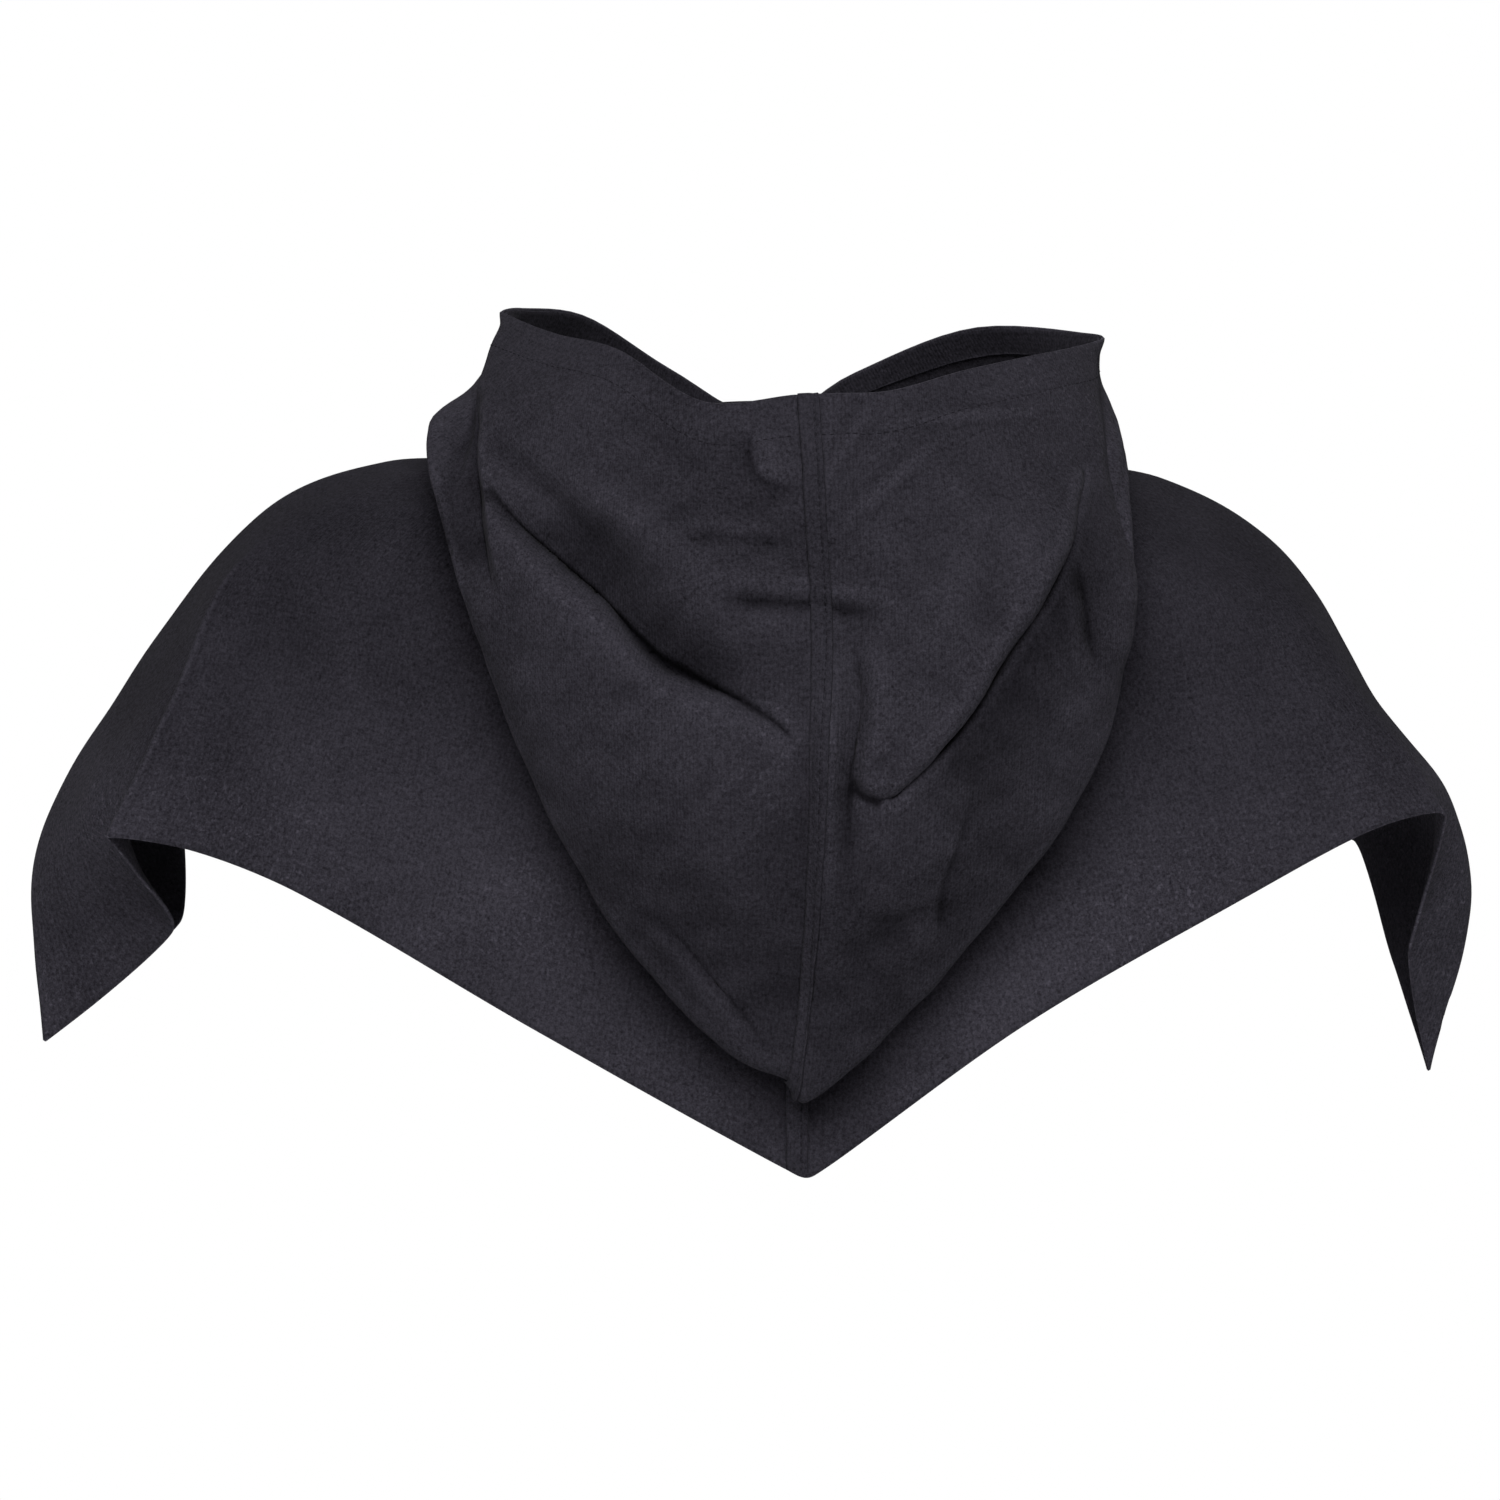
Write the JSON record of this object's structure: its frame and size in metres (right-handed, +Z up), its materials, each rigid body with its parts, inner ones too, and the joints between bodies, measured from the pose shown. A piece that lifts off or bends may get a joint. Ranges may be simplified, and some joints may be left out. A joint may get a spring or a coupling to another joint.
{
  "type": "canvas hood with shoulder cape",
  "caption": "Dark canvas hood with a pointed shoulder cape, the hood lowered on the back, worn and held up at the neck.",
  "frame": {"origin": "centre of the neck opening at the height of the neck seam, where the garment sits on a neck", "axes": "+X to the wearer's right, +Y the way the wearer faces, +Z up"},
  "size_m": [0.6176, 0.2942, 0.3604],
  "materials": {
    "canvas": "matt woven"
  },
  "bodies": {
    "root": {"cape_left": "canvas", "cape_right": "canvas", "cape_back_seam": "canvas", "hood_left": "canvas", "hood_right": "canvas", "crown_seam": "canvas", "rim_hem_left": "canvas", "rim_hem_right": "canvas"}
  },
  "joints": []
}
